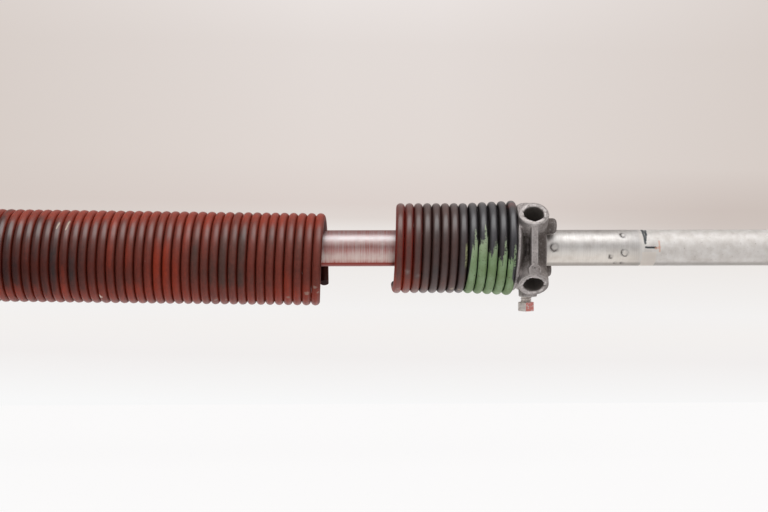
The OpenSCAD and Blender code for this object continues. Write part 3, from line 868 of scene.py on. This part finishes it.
# --------------------------------------------------------------
# Set screws
# Square-head 5/16-inch steel screws with rolled threads. Their points press on
# the shaft, their heads stand out of the cone's bosses, and one side of each head
# is touched with red paint.
# --------------------------------------------------------------
screw_r, thread_pitch, thread_depth = 3.97, 25.4 / 18, 0.75
screw_len, head_w, head_h = 25.4, 7.94, 6.5
screw_x = 717.465
point_chamfer = 1.3

screw_steel, tree, coat = finish_of("screw_steel")
where = object_place(tree)
wear = place(tree, steel_wear, Where=where, Ring_Scale=900.0, Blotch_Scale=420.0)
colour = blend_colour(tree, ramp(tree, wear["Blotch"], 0.35, 0.7), rgb(242, 236, 232), rgb(190, 178, 172))
connect(tree, coat, Base_Color=colour, Roughness=plus(tree, 0.34, times(tree, wear["Blotch"], 0.2)),
        Metallic=0.45, Normal=bump(tree, 0.4, 0.1, wear["Height"]))

screw_paint, tree, coat = finish_of("screw_paint")
where = object_place(tree)
chipped = fine_noise(tree, where, 600.0, 5.0, 0.7)
colour = blend_colour(tree, ramp(tree, chipped, 0.54, 0.6), rgb(240, 146, 138), rgb(246, 224, 218))
connect(tree, coat, Base_Color=colour, Roughness=ramp(tree, chipped, 0.4, 0.6, 0.5, 0.35),
        Normal=bump(tree, 0.4, 0.1, chipped))


def set_screw(name, angle, head_turn, painted_side):
    """A screw stood on its point and turned round the shaft by angle: 0 is the top and 90 the front."""
    steps, rows = 40, 220
    verts = []
    for i in range(rows + 1):
        z = screw_len * i / rows
        for k in range(steps):
            share = (z / thread_pitch - k / steps) % 1.0
            r = screw_r - thread_depth * (1 - abs(2 * share - 1)) ** 0.8
            r = min(r, screw_r - point_chamfer + z)
            verts.append((r * math.cos(2 * math.pi * k / steps), r * math.sin(2 * math.pi * k / steps), z))
    faces = tube_quads(rows, steps)
    faces.append(tuple(range(steps))[::-1])
    faces.append(tuple(rows * steps + k for k in range(steps)))
    piece = make_piece(name, verts, faces, 35)
    build = bmesh.new()
    build.from_mesh(piece.data)
    head = bmesh.new()
    bmesh.ops.create_cube(head, size=1.0)
    bmesh.ops.scale(head, vec=(head_w, head_w, head_h), verts=head.verts)
    bmesh.ops.translate(head, vec=(0, 0, screw_len + head_h / 2), verts=head.verts)
    bmesh.ops.bevel(head, geom=head.edges[:], offset=0.4, segments=3, profile=0.6, affect="EDGES",
                    clamp_overlap=True)
    long_edges = [e for e in head.edges if e.calc_length() > 3]
    bmesh.ops.subdivide_edges(head, edges=long_edges, cuts=6, use_grid_fill=True)
    rng = random.Random(int(angle))
    for v in head.verts:
        v.co += Vector((rng.uniform(-1, 1), rng.uniform(-1, 1), rng.uniform(-1, 1))) * 0.05
    for face in head.faces:
        sideways = face.normal.dot(Vector((math.cos(painted_side), math.sin(painted_side), 0)))
        face.material_index = 1 if sideways > 0.9 else 0
    bmesh.ops.rotate(head, matrix=Matrix.Rotation(math.radians(head_turn), 3, "Z"), verts=head.verts)
    scrap = bpy.data.meshes.new(name + "_head")
    head.to_mesh(scrap)
    build.from_mesh(scrap)
    bmesh.ops.scale(build, vec=(MM, MM, MM), verts=build.verts)
    bmesh.ops.translate(build, vec=(0, 0, shaft_r + 0.1 * MM), verts=build.verts)
    bmesh.ops.rotate(build, matrix=Matrix.Rotation(math.radians(angle), 3, "X"), verts=build.verts)
    bmesh.ops.translate(build, vec=(screw_x * MM, 0, 0), verts=build.verts)
    build.to_mesh(piece.data)
    build.free()
    head.free()
    bpy.data.meshes.remove(scrap)
    soften(piece, 35)
    piece.data.materials.append(screw_steel)
    piece.data.materials.append(screw_paint)
    return piece


screws = (
    ("screw_lower", "set_screw_lower", 180, 54, 0.0),
    ("screw_rear", "set_screw_rear", 270, 12, math.pi / 2),
)
for name, node, round_by, head_turn, side in screws:
    screw = set_screw(name, cone_turn + round_by, head_turn, side)
    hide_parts(node)
    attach(screw, "shaft")


# --------------------------------------------------------------
# Stationary cone
# The other aluminium casting, which bolts to the bracket by its two ears and
# holds the long section's first turns on its thread.
# --------------------------------------------------------------
anchor_cast, tree, coat = finish_of("anchor_cast")
where = object_place(tree)
skin = place(tree, cast_skin, Where=where, Light=rgb(190, 186, 184), Dark=rgb(104, 98, 98), Dirt=0.4)
bumps = bump(tree, 0.5, 0.25, skin["Height"])
connect(tree, coat, Base_Color=skin["Colour"], Roughness=skin["Roughness"], Metallic=0.55, Normal=bumps)

anchor = cast_copy("anchor_casting", "stationary_cone", 0.8, 0.14)
anchor.data.materials.append(anchor_cast)
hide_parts("stationary_cone")
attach(anchor, "anchor")


# --------------------------------------------------------------
# Ball bearing
# Two hardened rings and their balls, pressed into the stationary cone's pocket.
# The rings and balls are the solids themselves, ground bright and oily.
# --------------------------------------------------------------
race_steel, tree, coat = finish_of("race_steel")
where = object_place(tree)
wear = place(tree, steel_wear, Where=where, Ring_Scale=2200.0, Blotch_Scale=240.0)
colour = blend_colour(tree, ramp(tree, wear["Blotch"], 0.4, 0.75), rgb(196, 194, 192), rgb(130, 116, 102))
connect(tree, coat, Base_Color=colour, Roughness=plus(tree, 0.2, times(tree, wear["Blotch"], 0.2)),
        Metallic=1.0, Normal=bump(tree, 0.2, 0.05, wear["Rings"]))
for node in ("bearing_outer_race", "bearing_inner_race", "bearing_balls"):
    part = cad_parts[node]
    part.data.materials.clear()
    part.data.materials.append(race_steel)


# --------------------------------------------------------------
# Floor, backdrop, lamps and camera
# A plain pale floor and wall, lit softly from above. The wall's light and shade are painted in bands by
# height, and the camera stands in front, level with the shaft.
# --------------------------------------------------------------
floor_z = -150 * MM
wall_y = 350 * MM
sheet_left, sheet_right = -3, 4
wall_middle = 620 * MM


def pale_sheet(name, corners):
    sheet = make_piece(name, corners, [(0, 1, 2, 3)])
    sheet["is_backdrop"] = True
    return sheet


def seen_rays(tree):
    """Two masks: rays from the camera, and those with the rays that metal or glass sends on."""
    seen = put(tree, "ShaderNodeLightPath").outputs
    sent_on = sums(tree, "MAXIMUM", seen["Is Glossy Ray"], seen["Is Transmission Ray"])
    return seen["Is Camera Ray"], sums(tree, "MAXIMUM", seen["Is Camera Ray"], sent_on)


def see_from_front(tree, coat, tone, share, to_metal):
    """Shows a tone to the camera and part of it to metal, and is clear from behind."""
    from_camera, rays = seen_rays(tree)
    strength = plus(tree, times(tree, from_camera, 1.0 - to_metal), to_metal)
    glow = put(tree, "ShaderNodeEmission", {}, Color=tone, Strength=strength).outputs[0]
    both = put(tree, "ShaderNodeMixShader", {}, in0=times(tree, rays, share), in1=coat.outputs[0],
               in2=glow).outputs[0]
    behind = put(tree, "ShaderNodeNewGeometry").outputs["Backfacing"]
    clear = put(tree, "ShaderNodeBsdfTransparent").outputs[0]
    shown = put(tree, "ShaderNodeMixShader", {}, in0=behind, in1=both, in2=clear).outputs[0]
    tree.links.new(shown, tree.nodes["Material Output"].inputs["Surface"])


floor_white, tree, coat = finish_of("floor_white")
connect(tree, coat, Base_Color=rgb(226, 224, 223), Roughness=0.9)
see_from_front(tree, coat, rgb(254, 253, 253), 0.94, 1.0)
floor = pale_sheet("floor", [(sheet_left, -3, floor_z), (sheet_right, -3, floor_z),
                             (sheet_right, wall_y, floor_z), (sheet_left, wall_y, floor_z)])
floor.data.materials.append(floor_white)

wall_pale, tree, coat = finish_of("wall_pale")
split = split_xyz(tree, object_place(tree))
from_middle = minus(tree, split[0], wall_middle)
height = plus(tree, split[2], times(tree, from_middle, 0.02))
# Painted light and shade on the wall, by height.
wall_light_bands = (
    (-150, rgb(248, 248, 248)),
    (-104, rgb(241, 238, 237)),
    (-77, rgb(243, 240, 238)),
    (-58, rgb(243, 241, 240)),
    (-10, rgb(237, 233, 230)),
    (20, rgb(232, 226, 222)),
    (31, rgb(222, 213, 208)),
    (45, rgb(219, 208, 203)),
    (90, rgb(224, 215, 210)),
    (200, rgb(226, 218, 214)),
    (250, rgb(233, 226, 223)),
)
shades = by_height(tree, height, wall_light_bands)
# The wall dims to both sides, from the shaft's height up.
sideways = times(tree, ramp(tree, sums(tree, "ABSOLUTE", from_middle), 60 * MM, 380 * MM),
                ramp(tree, split[2], -20 * MM, 30 * MM, 0.0, 1.0))
shades = blend_colour(tree, times(tree, sideways, 0.55), shades, rgb(206, 195, 188))
# A dimmer patch lies behind the tube on the right.
patch = between(tree, split[2], -4 * MM, 16 * MM, 38 * MM, 78 * MM)
patch = times(tree, patch, ramp(tree, from_middle, 120 * MM, 330 * MM, 0.0, 0.5))
shades = blend_colour(tree, patch, shades, rgb(194, 181, 174))
connect(tree, coat, Base_Color=rgb(232, 228, 226))
see_from_front(tree, coat, shades, 1.0, 0.76)
wall = pale_sheet("wall", [(sheet_left, wall_y, floor_z), (sheet_right, wall_y, floor_z),
                           (sheet_right, wall_y, 2), (sheet_left, wall_y, 2)])
wall.data.materials.append(wall_pale)

lamps = (
    ("lamp_top", 7.2, 1.8, 0.75, (0.7, -0.36, 0.91), (0.7, 0, 0)),
    ("lamp_front", 1.6, 1.6, 1.0, (0.2, -1.6, 0.9), (0.5, 0, 0)),
)
for name, power, wide, deep, at, aim in lamps:
    lamp = bpy.data.objects.new(name, bpy.data.lights.new(name, "AREA"))
    lamp.data.energy, lamp.data.shape, lamp.data.size, lamp.data.size_y = power, "RECTANGLE", wide, deep
    lamp.location = at
    lamp.rotation_euler = (Vector(aim) - Vector(at)).to_track_quat("-Z", "Y").to_euler()
    scene.collection.objects.link(lamp)

world = bpy.data.worlds.new("room")
world.use_nodes = True
tree = world.node_tree
light = tree.nodes["Background"]
connect(tree, light, Color=(0.86, 0.84, 0.83, 1), Strength=0.34)
# The camera sees a plain pale room. Metal sees it dimmer overhead and on the side the camera stands on.
way = split_xyz(tree, put(tree, "ShaderNodeTexCoord").outputs["Generated"])
tone = blend_colour(tree, ramp(tree, way[1], -0.9, -0.2), rgb(176, 172, 170), rgb(226, 221, 218))
tone = blend_colour(tree, ramp(tree, way[2], 0.35, 0.9), tone, rgb(196, 192, 190))
from_camera, rays = seen_rays(tree)
tone = blend_colour(tree, from_camera, tone, rgb(246, 244, 243))
room = put(tree, "ShaderNodeBackground", {}, Color=tone, Strength=1.0).outputs[0]
shown = put(tree, "ShaderNodeMixShader", {}, in0=rays, in1=light.outputs[0], in2=room).outputs[0]
tree.links.new(shown, tree.nodes["World Output"].inputs["Surface"])
scene.world = world

camera_at = (600.76 * MM, -913.67 * MM, -4.683 * MM)
camera = bpy.data.objects.new("camera", bpy.data.cameras.new("camera"))
camera.data.lens, camera.data.sensor_width = 60.747, 36
turn_right, tip_down, roll = math.radians(1.018), math.radians(0.0504), math.radians(-0.1212)
camera.matrix_world = (Matrix.Translation(camera_at)
                       @ Matrix.Rotation(-turn_right, 4, "Z")
                       @ Matrix.Rotation(math.pi / 2 - tip_down, 4, "X")
                       @ Matrix.Rotation(roll, 4, "Z"))
scene.collection.objects.link(camera)
scene.camera = camera
scene.view_settings.view_transform = "Standard"

low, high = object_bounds()
